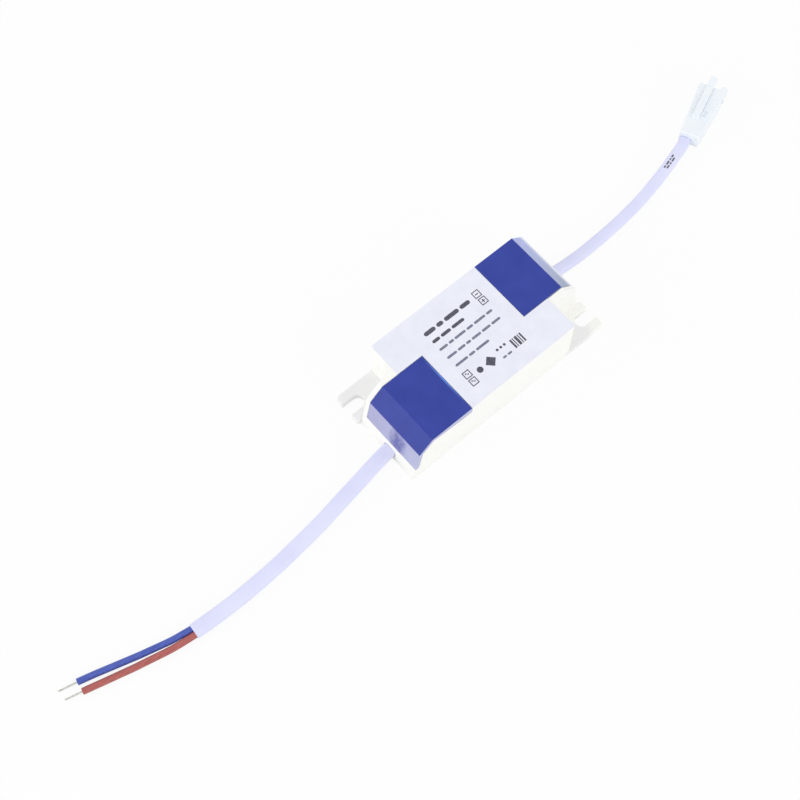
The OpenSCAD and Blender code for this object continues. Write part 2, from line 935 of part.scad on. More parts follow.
base_tray();
top_cover();
input_cover();
output_cover();
rating_label();
input_label();
output_label();
input_cable();
blue_core();
red_core();
tinned_ends();
output_cable();
plug_housing();
plug_contacts();
circuit_board();
transformer_core();
transformer_bobbin();
transformer_winding();
input_capacitor();
output_capacitor();
bridge_rectifier();
driver_chip();
fuse_resistor();
filter_choke();
output_diode();
safety_capacitor();
chip_resistors();
input_leads();
output_leads();
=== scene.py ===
"""The looks of a small LED driver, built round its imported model.

The scene is in metres. Sizes and places are given in millimetres, unless a comment says otherwise.
"""

import math

import bmesh
import bpy
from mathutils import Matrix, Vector
from mathutils.bvhtree import BVHTree


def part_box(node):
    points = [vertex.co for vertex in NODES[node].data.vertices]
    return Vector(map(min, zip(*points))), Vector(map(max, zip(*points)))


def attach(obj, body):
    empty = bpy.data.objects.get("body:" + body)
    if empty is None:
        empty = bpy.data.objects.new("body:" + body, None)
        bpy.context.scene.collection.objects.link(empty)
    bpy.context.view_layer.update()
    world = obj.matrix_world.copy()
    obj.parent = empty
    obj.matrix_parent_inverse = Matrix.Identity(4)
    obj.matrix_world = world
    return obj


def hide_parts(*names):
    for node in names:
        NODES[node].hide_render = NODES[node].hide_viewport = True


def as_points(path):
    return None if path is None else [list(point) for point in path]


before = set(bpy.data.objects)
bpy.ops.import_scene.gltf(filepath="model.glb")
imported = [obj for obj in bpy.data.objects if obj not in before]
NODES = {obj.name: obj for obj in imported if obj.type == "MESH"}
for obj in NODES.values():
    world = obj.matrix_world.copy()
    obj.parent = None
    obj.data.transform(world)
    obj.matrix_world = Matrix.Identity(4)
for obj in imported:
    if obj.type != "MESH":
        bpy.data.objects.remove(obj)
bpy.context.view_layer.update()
MM = 0.001

# Camera, in metres
CAMERA_AT = Vector((-134.7, -126.2, 385.5)) * MM
LOOK_AT = Vector((-27.69, -1.44, 17.6)) * MM
FIELD_OF_VIEW = math.radians(29.86)
NEAREST_SEEN = 0.01

# Sections of the cords, and how much their end edges are rounded
INPUT_WIDE, INPUT_THICK = 4.4, 2.9
OUTPUT_WIDE, OUTPUT_THICK = 3.6, 2.5
SHEATH_SQUARENESS = 2.6
SHEATH_SIDES = 40
SHEATH_EDGE = 0.15
INPUT_DIP = 0.03
CORE_D = 1.9
CORE_SIDES = 24
CORE_EDGE = 0.1
# How far inside the sheath a core's mesh begins
CORE_ROOT = 0.5

# Where the output cable enters the plug, after a straight run
PLUG_PLACE = Vector((98.8, 12.1, 3))
PLUG_ANGLE = math.radians(23)
PLUG_WAY = Vector((math.cos(PLUG_ANGLE), math.sin(PLUG_ANGLE), 0))
ENTRY_SHIFT = 0.9
ENTRY_RUN = 3
PLUG_ENTRY = PLUG_PLACE + ENTRY_SHIFT * Vector((-PLUG_WAY.y, PLUG_WAY.x, 0))

# Routes along the middle of each cord
INPUT_ROUTE = [
    (-27, -5.7, 2.05), (-31, -5.7, 2.05), (-35.6, -5.7, 2.05), (-40, -6.1, 1.8), (-44, -6.7, 1.6),
    (-48, -7.3, 1.5), (-53, -8.1, 1.5), (-58, -8.9, 1.5), (-63, -9.7, 1.5), (-68, -10.3, 1.5),
    (-73, -10.8, 1.5), (-78, -11.3, 1.5), (-83, -11.6, 1.5), (-88, -11.8, 1.5), (-93, -11.9, 1.5),
    (-98, -11.8, 1.5), (-103, -11.6, 1.5), (-107.4, -11.3, 1.5),
]
BLUE_ROUTE = [
    (-107.6, -10.3, 1.5), (-110, -9.9, 1.4), (-113, -9.3, 1.1), (-116, -8.5, 0.95), (-119, -7.7, 0.95),
    (-122, -6.9, 0.95), (-125, -6, 0.95), (-128, -5.1, 0.95), (-131, -4.2, 0.95), (-134, -3.3, 0.95),
    (-138.4, -2.1, 0.95),
]
RED_ROUTE = [
    (-107.6, -12.2, 1.5), (-110, -11.9, 1.4), (-113, -11.4, 1.1), (-116, -10.8, 0.95),
    (-119, -10.1, 0.95), (-122, -9.4, 0.95), (-125, -8.7, 0.95), (-128, -7.9, 0.95), (-131, -7.1, 0.95),
    (-134, -6.3, 0.95), (-138.8, -5, 0.95),
]
OUTPUT_ROUTE = [
    (27, 5.7, 1.85), (31, 5.7, 1.85), (35.6, 5.7, 1.85), (40, 5.4, 1.6), (44, 5.2, 1.4), (48, 5.1, 1.3),
    (53, 5.2, 1.3), (58, 5.4, 1.3), (63, 5.7, 1.3), (68, 6.2, 1.3), (73, 6.8, 1.3), (78, 7.7, 1.3),
    (83, 8.7, 1.5), (88, 9.8, 2), (92, 10.8, 2.6), tuple(PLUG_ENTRY - ENTRY_RUN * PLUG_WAY),
    tuple(PLUG_ENTRY),
]
# The point of a sheath's route at which it leaves the case, and the steps of the curve between two points
EXIT_POINT = 2
SPAN_STEPS = 5

# Tinned ends: strands twisted round one in the middle, each a little thicker than a third of the end
BLUE_TIP = (-143.5, -0.8, 0.6)
RED_TIP = (-143.5, -3.7, 0.6)
TIP_D = 0.58
STRANDS = 6
STRAND_TURNS = 1.4
STRAND_SWELL = 1.05
STRAND_STEPS = 24
STRAND_SIDES = 8
STRAND_EDGE = 0.05


# Node helpers

# Most of a noise value lies between these two
NOISE_LOW, NOISE_HIGH = 0.3, 0.7


def srgb(red, green, blue):
    """A colour given in display numbers from 0 to 255, as linear light."""
    def linear(value):
        value /= 255
        return value / 12.92 if value <= 0.04045 else ((value + 0.055) / 1.055) ** 2.4
    return (linear(red), linear(green), linear(blue))


def new_material(name):
    """A material with its nodes, its shader and an output of object coordinates."""
    mat = bpy.data.materials.new(name)
    mat.use_nodes = True
    tree = mat.node_tree
    shader = tree.nodes["Principled BSDF"]
    coords = tree.nodes.new("ShaderNodeTexCoord").outputs["Object"]
    return mat, tree, shader, coords


def noise(tree, coords, size, detail=2, stretch=(1, 1, 1)):
    """A noise value whose features are about one size wide."""
    spread = tree.nodes.new("ShaderNodeMapping")
    spread.inputs["Scale"].default_value = stretch
    tree.links.new(coords, spread.inputs["Vector"])
    tex = tree.nodes.new("ShaderNodeTexNoise")
    tex.inputs["Scale"].default_value = 1 / (size * MM)
    tex.inputs["Detail"].default_value = detail
    tree.links.new(spread.outputs["Vector"], tex.inputs["Vector"])
    return tex.outputs["Fac"]


def ramp(tree, value, stops):
    """Colours along a value, as (position, colour) stops."""
    node = tree.nodes.new("ShaderNodeValToRGB")
    points = node.color_ramp.elements
    while len(points) < len(stops):
        points.new(0.5)
    for point, (position, colour) in zip(points, stops):
        point.position = position
        point.color = (*colour, 1)
    tree.links.new(value, node.inputs["Fac"])
    return node.outputs["Color"]


def span(tree, value, low, high, start=0.0, end=1.0):
    """A value moved from one range to another and held inside it."""
    node = tree.nodes.new("ShaderNodeMapRange")
    node.inputs["From Min"].default_value = low
    node.inputs["From Max"].default_value = high
    node.inputs["To Min"].default_value = start
    node.inputs["To Max"].default_value = end
    tree.links.new(value, node.inputs["Value"])
    return node.outputs["Result"]


def mottle(tree, value, dark, light):
    """Two colours that follow a noise value."""
    return ramp(tree, value, [(NOISE_LOW, dark), (NOISE_HIGH, light)])


def vary(tree, value, start, end):
    """A number that follows a noise value from a start to an end."""
    return span(tree, value, NOISE_LOW, NOISE_HIGH, start, end)


def math_node(tree, kind, first, second):
    """Arithmetic on a value and another value or a number."""
    node = tree.nodes.new("ShaderNodeMath")
    node.operation = kind
    tree.links.new(first, node.inputs[0])
    if isinstance(second, (int, float)):
        node.inputs[1].default_value = second
    else:
        tree.links.new(second, node.inputs[1])
    return node.outputs["Value"]


def blend_colours(tree, share, first, second):
    """Two colours mixed by a share, each an output or three numbers."""
    node = tree.nodes.new("ShaderNodeMix")
    node.data_type = "RGBA"
    tree.links.new(share, node.inputs["Factor"])
    for socket, colour in ((node.inputs["A"], first), (node.inputs["B"], second)):
        if isinstance(colour, tuple):
            socket.default_value = (*colour, 1)
        else:
            tree.links.new(colour, socket)
    return node.outputs["Result"]


def nearness(tree, coords, middle, reach):
    """1 at a point and 0 from its reach outwards."""
    node = tree.nodes.new("ShaderNodeVectorMath")
    node.operation = "DISTANCE"
    tree.links.new(coords, node.inputs[0])
    node.inputs[1].default_value = Vector(middle) * MM
    return span(tree, node.outputs["Value"], 0, reach * MM, start=1, end=0)


def axis_of(tree, coords, name):
    """One coordinate, in metres."""
    node = tree.nodes.new("ShaderNodeSeparateXYZ")
    tree.links.new(coords, node.inputs["Vector"])
    return node.outputs[name]


def dress(tree, shader, colour, roughness, height, depth):
    """Gives a shader its colour, its roughness and a bump of some depth."""
    tree.links.new(colour, shader.inputs["Base Color"])
    tree.links.new(roughness, shader.inputs["Roughness"])
    bump = tree.nodes.new("ShaderNodeBump")
    bump.inputs["Distance"].default_value = depth * MM
    tree.links.new(height, bump.inputs["Height"])
    tree.links.new(bump.outputs["Normal"], shader.inputs["Normal"])


# Materials

# How far a moulded surface's roughness swings to either side
GLOSS_SWING = 0.06
# Painted shade that greys the ears, as a middle and a reach, and the share of a reach that the shade fades
# out over.
# It stops a little above the ears.
EAR_SHADES = [((-30.5, 11, 2.4), 10), ((27.3, -14.6, 2.4), 6.5)]
SHADE_RIM = 0.4
EAR_TOP = 2.5
EAR_FADE = 0.5
# The painted reflection of the cable on the input cover's end wall: its middle, its reach and how much of a
# height counts towards it
REFLECTION_AT = (-33.9, -7.6, 9)
REFLECTION_REACH = 4.6
REFLECTION_HEIGHT = 0.5
# Where painted light turns the output cover pale along X, at the foot of its slope
PALE_FROM, PALE_TO = 31.8, 32.9
# The bright stretch along the input film's inner edge
GLINT_Y = -4.5
GLINT_REACH = 9
GLINT_WIDE = 0.6
# Pitches of the fields and pads on the circuit board
FIELD_PITCH = 9
PAD_PITCH = 4
# The length after which a wave texture of scale 1 repeats
WAVE_PERIOD = 0.314


def moulded(name, dark, light, rough, grain, depth, patch, metal=0.0, coat=0.0):
    """A surface with soft patches of two colours, a fine grain of some depth and uneven gloss."""
    mat, tree, shader, coords = new_material(name)
    patches = noise(tree, coords, patch, detail=3)
    fine = noise(tree, coords, grain)
    roughness = vary(tree, fine, rough - GLOSS_SWING, rough + GLOSS_SWING)
    dress(tree, shader, mottle(tree, patches, dark, light), roughness, fine, depth)
    shader.inputs["Metallic"].default_value = metal
    shader.inputs["Coat Weight"].default_value = coat
    return mat


def case_plastic(name):
    """Warm white moulded plastic with a fine spark-eroded grain."""
    return moulded(name, dark=srgb(249, 249, 245), light=srgb(252, 252, 248), rough=0.42, grain=0.22,
                   depth=0.008, patch=14)


def tray_plastic():
    """Case plastic with painted shade that makes the tray's two thin ears a little greyer."""
    mat = case_plastic("tray_plastic")
    tree = mat.node_tree
    base = tree.nodes["Principled BSDF"].inputs["Base Color"]
    coords = tree.nodes.new("ShaderNodeTexCoord").outputs["Object"]
    # painted shade: the ears are blended towards grey, up to a little above their tops
    shades = [span(tree, nearness(tree, coords, middle, reach), 0, SHADE_RIM) for middle, reach in EAR_SHADES]
    low = span(tree, axis_of(tree, coords, "Z"), EAR_TOP * MM, (EAR_TOP + EAR_FADE) * MM, start=1, end=0)
    share = math_node(tree, "MULTIPLY", math_node(tree, "MAXIMUM", *shades), low)
    tree.links.new(blend_colours(tree, share, base.links[0].from_socket, srgb(239, 239, 240)), base)
    return mat


def painted_reflection(tree, coords, colour):
    """A colour with a painted, streaky violet reflection of the cable at one place."""
    squat = tree.nodes.new("ShaderNodeMapping")
    squat.inputs["Scale"].default_value = (1, 1, REFLECTION_HEIGHT)
    tree.links.new(coords, squat.inputs["Vector"])
    x, y, z = REFLECTION_AT
    spot = nearness(tree, squat.outputs["Vector"], (x, y, z * REFLECTION_HEIGHT), REFLECTION_REACH)
    streaks = noise(tree, coords, size=1.3, stretch=(1, 1, 0.4))
    reflection = math_node(tree, "MULTIPLY", spot, vary(tree, streaks, start=0.6, end=1.3))
    # painted reflection of the cable, mixed into the end wall's colour
    return blend_colours(tree, span(tree, reflection, low=0.15, high=0.75), colour, srgb(98, 102, 170))


def painted_light(tree, coords, colour):
    """A colour that turns almost white along X: painted light on the output cover's far end."""
    # painted light: near white past the foot of the slope
    share = span(tree, axis_of(tree, coords, "X"), PALE_FROM * MM, PALE_TO * MM)
    return blend_colours(tree, share, colour, srgb(240, 240, 248))


def cover_plastic(name, node, low_tint, high_tint, change):
    """Pale glossy plastic that drifts from one tint to another across a node, with a change on top."""
    mat, tree, shader, coords = new_material(name)
    low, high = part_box(node)
    share = span(tree, axis_of(tree, coords, "Y"), low.y, high.y)
    patches = noise(tree, coords, size=4, detail=3)
    colour = blend_colours(tree, share, low_tint, high_tint)
    colour = blend_colours(tree, vary(tree, patches, start=0, end=0.45), colour, srgb(160, 164, 196))
    colour = change(tree, coords, colour)
    fine = noise(tree, coords, size=0.3)
    dress(tree, shader, colour, vary(tree, patches, start=0.2, end=0.34), fine, depth=0.003)
    return mat


def plug_nylon():
    """Milky nylon that lets some light through."""
    mat = moulded("plug_nylon", dark=srgb(239, 245, 255), light=srgb(243, 249, 255), rough=0.4, grain=0.3,
                  depth=0.002, patch=5)
    shader = mat.node_tree.nodes["Principled BSDF"]
    shader.inputs["Subsurface Weight"].default_value = 0.35
    shader.inputs["Subsurface Radius"].default_value = (1, 1, 1)
    shader.inputs["Subsurface Scale"].default_value = 0.6 * MM
    return mat


def glinting(tree, coords, colour):
    """A colour with a bright stretch along the edge of the input film that faces +X."""
    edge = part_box("input_label")[1].x
    band = span(tree, axis_of(tree, coords, "X"), edge - GLINT_WIDE * MM, edge)
    away = math_node(tree, "SUBTRACT", axis_of(tree, coords, "Y"), GLINT_Y * MM)
    stretch = span(tree, math_node(tree, "ABSOLUTE", away, 0), 0, GLINT_REACH * MM, start=1, end=0)
    share = math_node(tree, "MULTIPLY", band, stretch)
    return blend_colours(tree, share, colour, srgb(104, 160, 250))


def blue_film(name, change=None):
    """Dark blue printed film with the specks of a printing screen, and perhaps a change on top."""
    mat, tree, shader, coords = new_material(name)
    patches = noise(tree, coords, size=6, detail=4)
    fine = noise(tree, coords, size=0.18)
    specks = span(tree, fine, low=0.68, high=0.8, start=0, end=0.25)
    colour = mottle(tree, patches, dark=srgb(40, 57, 150), light=srgb(47, 64, 160))
    colour = blend_colours(tree, specks, colour, srgb(92, 108, 190))
    if change:
        colour = change(tree, coords, colour)
    dress(tree, shader, colour, vary(tree, fine, start=0.36, end=0.5), fine, depth=0.003)
    shader.inputs["Specular IOR Level"].default_value = 0.35
    return mat


def label_film():
    """Cool white printed film, faintly mottled."""
    return moulded("label_film", dark=srgb(232, 234, 247), light=srgb(238, 240, 251), rough=0.4, grain=0.2,
                   depth=0.003, patch=4)


def ink(name, dark, light):
    """Printing ink, thinner in places."""
    return moulded(name, dark, light, rough=0.5, grain=0.12, depth=0.002, patch=0.5)


def cable_sheath():
    """Pale lavender sheath with fine drawn lines."""
    mat, tree, shader, coords = new_material("cable_sheath")
    patches = noise(tree, coords, size=7, detail=3)
    colour = mottle(tree, patches, dark=srgb(220, 222, 251), light=srgb(226, 228, 254))
    lines = noise(tree, coords, size=0.3, stretch=(0.06, 1, 1))
    dress(tree, shader, colour, vary(tree, lines, start=0.34, end=0.48), lines, depth=0.008)
    return mat


def insulation(name, dark, light):
    """Coloured insulation with fine drawn lines along it."""
    mat, tree, shader, coords = new_material(name)
    lines = noise(tree, coords, size=0.35, detail=3, stretch=(0.12, 1, 1))
    roughness = vary(tree, lines, start=0.3, end=0.46)
    dress(tree, shader, mottle(tree, lines, dark, light), roughness, lines, depth=0.01)
    return mat


def tinned_copper():
    """Bright tin, uneven where the solder ran."""
    return moulded("tinned_copper", dark=srgb(196, 196, 192), light=srgb(226, 226, 222), rough=0.35,
                   grain=0.1, depth=0.005, patch=0.6, metal=1.0)


def contact_metal():
    """Plated brass of the plug's contacts."""
    return moulded("contact_metal", dark=srgb(176, 172, 160), light=srgb(206, 202, 190), rough=0.25,
                   grain=0.1, depth=0.004, patch=1, metal=1.0)


def board_laminate():
    """Green solder mask in two shades with darker lines between them, and tinned pads."""
    mat, tree, shader, coords = new_material("board_laminate")
    fields = tree.nodes.new("ShaderNodeTexBrick")
    fields.inputs["Scale"].default_value = 1 / (FIELD_PITCH * MM)
    fields.inputs["Mortar Size"].default_value = 0.035
    fields.inputs["Color1"].default_value = (*srgb(24, 84, 48), 1)
    fields.inputs["Color2"].default_value = (*srgb(30, 96, 56), 1)
    fields.inputs["Mortar"].default_value = (*srgb(16, 62, 36), 1)
    tree.links.new(coords, fields.inputs["Vector"])
    cells = tree.nodes.new("ShaderNodeTexVoronoi")
    cells.inputs["Scale"].default_value = 1 / (PAD_PITCH * MM)
    tree.links.new(coords, cells.inputs["Vector"])
    pads = span(tree, cells.outputs["Distance"], low=0.16, high=0.18, start=1, end=0)
    colour = blend_colours(tree, pads, fields.outputs["Color"], srgb(196, 192, 180))
    roughness = span(tree, pads, low=0, high=1, start=0.35, end=0.22)
    dress(tree, shader, colour, roughness, fields.outputs["Fac"], depth=0.02)
    return mat


def ferrite():
    """Dull dark grey ceramic of a transformer's core."""
    return moulded("ferrite", dark=srgb(38, 38, 40), light=srgb(58, 58, 61), rough=0.6, grain=0.12,
                   depth=0.02, patch=1.5)


def bobbin_plastic():
    """Black moulded plastic of a transformer's bobbin."""
    return moulded("bobbin_plastic", dark=srgb(16, 16, 16), light=srgb(26, 26, 26), rough=0.45, grain=0.2,
                   depth=0.005, patch=3)


def chip_plastic():
    """Black moulding compound of the semiconductors and chip resistors."""
    return moulded("chip_plastic", dark=srgb(22, 22, 23), light=srgb(34, 34, 35), rough=0.55, grain=0.1,
                   depth=0.01, patch=2)


def capacitor_sleeve():
    """Shiny dark blue sleeve of an electrolytic capacitor."""
    return moulded("capacitor_sleeve", dark=srgb(26, 30, 42), light=srgb(36, 42, 56), rough=0.25, grain=0.4,
                   depth=0.004, patch=3, coat=0.3)


def resistor_coat():
    """Beige cement-like coat of the fuse resistor."""
    return moulded("resistor_coat", dark=srgb(150, 132, 100), light=srgb(176, 158, 124), rough=0.6,
                   grain=0.15, depth=0.015, patch=1.5)


def disc_coat():
    """Blue dipped coat of the safety capacitor."""
    return moulded("disc_coat", dark=srgb(34, 82, 138), light=srgb(46, 100, 158), rough=0.25, grain=0.5,
                   depth=0.01, patch=2)


def wound(name, dark, light, pitch, axis, rough):
    """A winding or tape whose turns follow each other along an axis."""
    mat, tree, shader, coords = new_material(name)
    turns = tree.nodes.new("ShaderNodeTexWave")
    turns.bands_direction = axis
    turns.inputs["Scale"].default_value = WAVE_PERIOD / (pitch * MM)
    turns.inputs["Distortion"].default_value = 0.4
    tree.links.new(coords, turns.inputs["Vector"])
    wave = turns.outputs["Fac"]
    roughness = span(tree, wave, low=0, high=1, start=rough + 0.15, end=rough)
    dress(tree, shader, ramp(tree, wave, [(0.1, dark), (0.7, light)]), roughness, wave, depth=0.04)
    return mat


# Pieces

def piece(name, mesh, material, replaced=()):
    """A new piece that rides on the part, with its finish, in place of some nodes."""
    obj = bpy.data.objects.new(name, mesh)
    bpy.context.scene.collection.objects.link(obj)
    mesh.materials.clear()
    mesh.materials.append(material)
    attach(obj, "root")
    if replaced:
        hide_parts(*replaced)
    return obj


def finished(shape, name):
    """A mesh made from a shape whose faces are turned outwards."""
    bmesh.ops.recalc_face_normals(shape, faces=shape.faces)
    mesh = bpy.data.meshes.new(name)
    shape.to_mesh(mesh)
    shape.free()
    return mesh


# Rounded edges

# How wide each housing's outer edges are rounded, and in how many steps
TRAY_ROUND = 0.25
TOP_ROUND = 0.15
LID_ROUND = 0.08
PLUG_ROUND = 0.2
ROUND_STEPS = 3
# The least fold that is rounded, and the most that counts as flat
FOLD = math.radians(25)
FLAT = math.radians(1)
# The cosine above which one edge leads on from another
STRAIGHT_ON = 0.87
# The share of the room beside an edge that its rounding may take
ROOM_SHARE = 0.3
# The parting line between tray and top cover: its height in metres, and the most that its edges are rounded
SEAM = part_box("top_cover")[0].z
SEAM_ROUND = 0.1
# Points this close are one, heights this close are the same, and a look from an edge starts this far off it
SAME_POINT = 0.001
SAME_HEIGHT = 0.01
OFF_EDGE = 0.02


def leads_on(edge, other):
    """Whether one edge lies about in line with another."""
    first, second = (e.verts[1].co - e.verts[0].co for e in (edge, other))
    return abs(first.normalized().dot(second.normalized())) > STRAIGHT_ON


def edge_room(edge):
    """The length in metres of the shortest edge that leads off sideways along an edge's two faces."""
    beside = [near.edge for loop in edge.link_loops for near in (loop.link_loop_prev, loop.link_loop_next)]
    return min((side.calc_length() for side in beside if not leads_on(edge, side)), default=math.inf)


def faces_open(edge, tree):
    """Whether an edge is an outer one with nothing of its own shape before it."""
    if not edge.is_convex or edge.calc_face_angle() < FOLD:
        return False
    way = (edge.link_faces[0].normal + edge.link_faces[1].normal).normalized()
    middle = (edge.verts[0].co + edge.verts[1].co) / 2
    return tree.ray_cast(middle + way * OFF_EDGE * MM, way)[0] is None


def at_seam(edge):
    """Whether an edge lies along the parting line."""
    return all(abs(corner.co.z - SEAM) < SAME_HEIGHT * MM for corner in edge.verts)


def edge_runs(edges):
    """The edges in groups that lead on from one to the next."""
    left = set(edges)
    while left:
        run = [left.pop()]
        for edge in run:
            for other in (e for corner in edge.verts for e in corner.link_edges):
                if other in left and leads_on(edge, other):
                    left.remove(other)
                    run.append(other)
        yield run


def weigh_edges(shape, width):
    """Gives each outer edge its share of a width, by the least room along its run of edges."""
    share = shape.edges.layers.float.new("bevel_weight_edge")
    tree = BVHTree.FromBMesh(shape)
    for run in edge_runs(edge for edge in shape.edges if faces_open(edge, tree)):
        room = min(edge_room(edge) for edge in run)
        for edge in run:
            most = SEAM_ROUND / width if at_seam(edge) else 1
            edge[share] = min(most, ROOM_SHARE * room / (width * MM))


def rounded_copy(name, node, width, material):
    """A node's own shape with its outer edges rounded by a width, in its place."""
    mesh = NODES[node].data.copy()
    split = mesh.attributes.get("custom_normal")
    if split:
        mesh.attributes.remove(split)
    shape = bmesh.new()
    shape.from_mesh(mesh)
    bmesh.ops.remove_doubles(shape, verts=shape.verts, dist=SAME_POINT * MM)
    bmesh.ops.dissolve_limit(shape, angle_limit=FLAT, verts=shape.verts, edges=shape.edges)
    shape.normal_update()
    weigh_edges(shape, width)
    shape.to_mesh(mesh)
    shape.free()
    for face in mesh.polygons:
        face.use_smooth = True
    mesh.set_sharp_from_angle(angle=FOLD)
    obj = piece(name, mesh, material, [node])
    edges = obj.modifiers.new("edges", "BEVEL")
    edges.width = width * MM
    edges.segments = ROUND_STEPS
    edges.limit_method = "WEIGHT"
    edges.use_clamp_overlap = False
    edges.loop_slide = False
    obj.modifiers.new("flats", "WEIGHTED_NORMAL").keep_sharp = True
    return obj


# Cords and strands

# How far in from its sides the middle of a rounded end edge lies, as a share of the edge
ARC_MIDDLE = 0.3


def smooth_path(route):
    """Points in metres along a smooth curve through a route."""
    points = [Vector(p) * MM for p in route]
    points = [2 * points[0] - points[1]] + points + [2 * points[-1] - points[-2]]
    path = []
    for a, b, c, d in zip(points, points[1:], points[2:], points[3:]):
        for k in range(SPAN_STEPS):
            t = k / SPAN_STEPS
            path.append(0.5 * (2 * b + (c - a) * t + (2 * a - 5 * b + 4 * c - d) * t ** 2
                               + (3 * b - a - 3 * c + d) * t ** 3))
    path.append(points[-2].copy())
    return path


def frames_along(path):
    """Each point of a path with its way, the level direction across it and the one square to both."""
    last = len(path) - 1
    for i, point in enumerate(path):
        way = (path[min(i + 1, last)] - path[max(i - 1, 0)]).normalized()
        across = Vector((0, 0, 1)).cross(way).normalized()
        yield point, way, across, way.cross(across)


def oval(wide, thick, sides, squareness=2.0, dip=0.0):
    """Offsets across and up round a cord's section, with a dip between the two cores of a flat one."""
    ring = []
    dip_reach = wide / 4
    for k in range(sides):
        turn = 2 * math.pi * k / sides
        c, s = math.cos(turn), math.sin(turn)
        across = math.copysign(abs(c) ** (2 / squareness), c) * wide / 2
        up = math.copysign(abs(s) ** (2 / squareness), s) * thick / 2
        ring.append((across, up * (1 - dip * math.exp(-(across / dip_reach) ** 2))))
    return ring


def add_tube(shape, path, ring, edge):
    """Adds a closed tube to a mesh.

    An edge rounds its two ends: in mm along the tube, and as a share of its section across it.
    """
    steps = list(frames_along(path))
    inner = edge * ARC_MIDDLE
    loops = []
    for i, (point, way, across, up) in enumerate(steps):
        shifts = [(0.0, 1.0)]
        if i == 0:
            shifts = [(0, 1 - edge), (inner, 1 - inner), (edge, 1)]
        elif i == len(steps) - 1:
            shifts = [(-edge, 1), (-inner, 1 - inner), (0, 1 - edge)]
        for shift, scale in shifts:
            middle = point + way * shift * MM
            loops.append([shape.verts.new(middle + (across * a + up * u) * scale * MM) for a, u in ring])
    count = len(ring)
    for low, high in zip(loops, loops[1:]):
        for k in range(count):
            face = shape.faces.new((low[k], low[(k + 1) % count], high[(k + 1) % count], high[k]))
            face.smooth = True
    shape.faces.new(list(reversed(loops[0])))
    shape.faces.new(loops[-1])


def tube(name, route, ring, material, node, edge, root=0.0):
    """A cord's mesh along its route, in place of a node, begun a root inside what it comes out of."""
    path = smooth_path(route)
    begun = path[0] + (path[0] - path[1]).normalized() * root * MM
    shape = bmesh.new()
    add_tube(shape, [begun] + path[1:], ring, edge)
    return piece(name, finished(shape, name), material, [node]), path


def strand_tip(name, start, end, material):
    """A tinned end of twisted strands."""
    start, end = Vector(start) * MM, Vector(end) * MM
    way = (end - start).normalized()
    across = Vector((0, 0, 1)).cross(way).normalized()
    up = way.cross(across)
    thin = TIP_D / 3
    ring = oval(thin * STRAND_SWELL, thin * STRAND_SWELL, STRAND_SIDES)
    shape = bmesh.new()
    for strand in range(STRANDS + 1):
        out = 0 if strand == STRANDS else thin * MM
        path = []
        for i in range(STRAND_STEPS + 1):
            share = i / STRAND_STEPS
            turn = 2 * math.pi * (strand / STRANDS + STRAND_TURNS * share)
            path.append(start.lerp(end, share) + (across * math.cos(turn) + up * math.sin(turn)) * out)
        add_tube(shape, path, ring, STRAND_EDGE)
    return piece(name, finished(shape, name), material, ["tinned_ends"])


# Label marks: plain bars and simple shapes, placed on the label in X and Y

MARK_HEIGHT = 0.02
# Rows as (y, bar height, [(left end, length)])
TITLE_ROWS = [
    (8.8, 1.3, [(-10.1, 3.9), (-5.6, 2.2), (-2.8, 5.1), (2.9, 3.5)]),
    (5.7, 1.0, [(-9.8, 2.6), (-6.7, 3.4), (-2.8, 4.4)]),
]
BODY_ROWS = [
    (2.7, 0.75, [(-9.9, 2.9), (-6.5, 1.7), (-4.4, 3.9), (0.0, 2.2), (2.7, 4.0), (7.2, 2.1)]),
    (-0.5, 0.75, [(-9.9, 3.4), (-6.0, 2.6), (-3.0, 1.6), (-0.9, 3.2), (2.8, 3.0), (6.3, 3.1)]),
    (-3.7, 0.75, [(-9.7, 4.4), (-4.8, 2.1), (-2.2, 4.6)]),
    (-10.3, 0.6, [(1.7, 1.3), (3.4, 1.5)]),
]
BAR_END_STEPS = 6
# Terminal boxes, and the marks inside them
BOX_SIZE = 2.3
BOX_LINE = 0.27
OUTPUT_BOXES = [((9.3, 9.1), "minus"), ((9.4, 6.4), "plus")]
INPUT_BOXES = [((-9.0, -7.6), "wave"), ((-9.0, -10.3), "wave")]
SIGN_LONG, SIGN_THIN = 1.1, 0.32
WAVE_TALL = 0.3
WAVE_STEPS = 12
# Simple shapes
DIAMOND_AT, DIAMOND_SIZE = (-1.5, -8.8), 3.6
SPOT_AT, SPOT_D = (-5.4, -8.8), 1.9
DOT_FIRST, DOT_PITCH, DOT_COUNT = (2.1, -7.4), 1.3, 3
DOT_D = 0.8
DISC_SIDES = 24
# Upright stripes as (left side, width)
UPRIGHTS = [(6.4, 0.6), (7.3, 0.3), (8.0, 0.8), (9.1, 0.3), (9.8, 0.5)]
UPRIGHTS_LOW, UPRIGHTS_HIGH = -10.4, -7.4


def slab(shape, corners, low, high):
    """Adds a thin upright prism on an outline."""
    bottom = [shape.verts.new(Vector((x, y, low)) * MM) for x, y in corners]
    top = [shape.verts.new(Vector((x, y, high)) * MM) for x, y in corners]
    count = len(corners)
    shape.faces.new(list(reversed(bottom)))
    shape.faces.new(top)
    for k in range(count):
        shape.faces.new((bottom[k], bottom[(k + 1) % count], top[(k + 1) % count], top[k]))


def rectangle(left, right, low, high):
    """A rectangle's outline."""
    return [(left, low), (right, low), (right, high), (left, high)]


def bar(x, y, length, height):
    """A bar's outline with round ends, from its left end."""
    r = height / 2
    ends = []
    for middle, start in ((x + length - r, -90), (x + r, 90)):
        for k in range(BAR_END_STEPS + 1):
            turn = math.radians(start + 180 * k / BAR_END_STEPS)
            ends.append((middle + r * math.cos(turn), y + r * math.sin(turn)))
    return ends


def disc(x, y, diameter, sides=DISC_SIDES):
    """A round or many-sided outline."""
    turns = [2 * math.pi * k / sides for k in range(sides)]
    return [(x + diameter / 2 * math.cos(t), y + diameter / 2 * math.sin(t)) for t in turns]


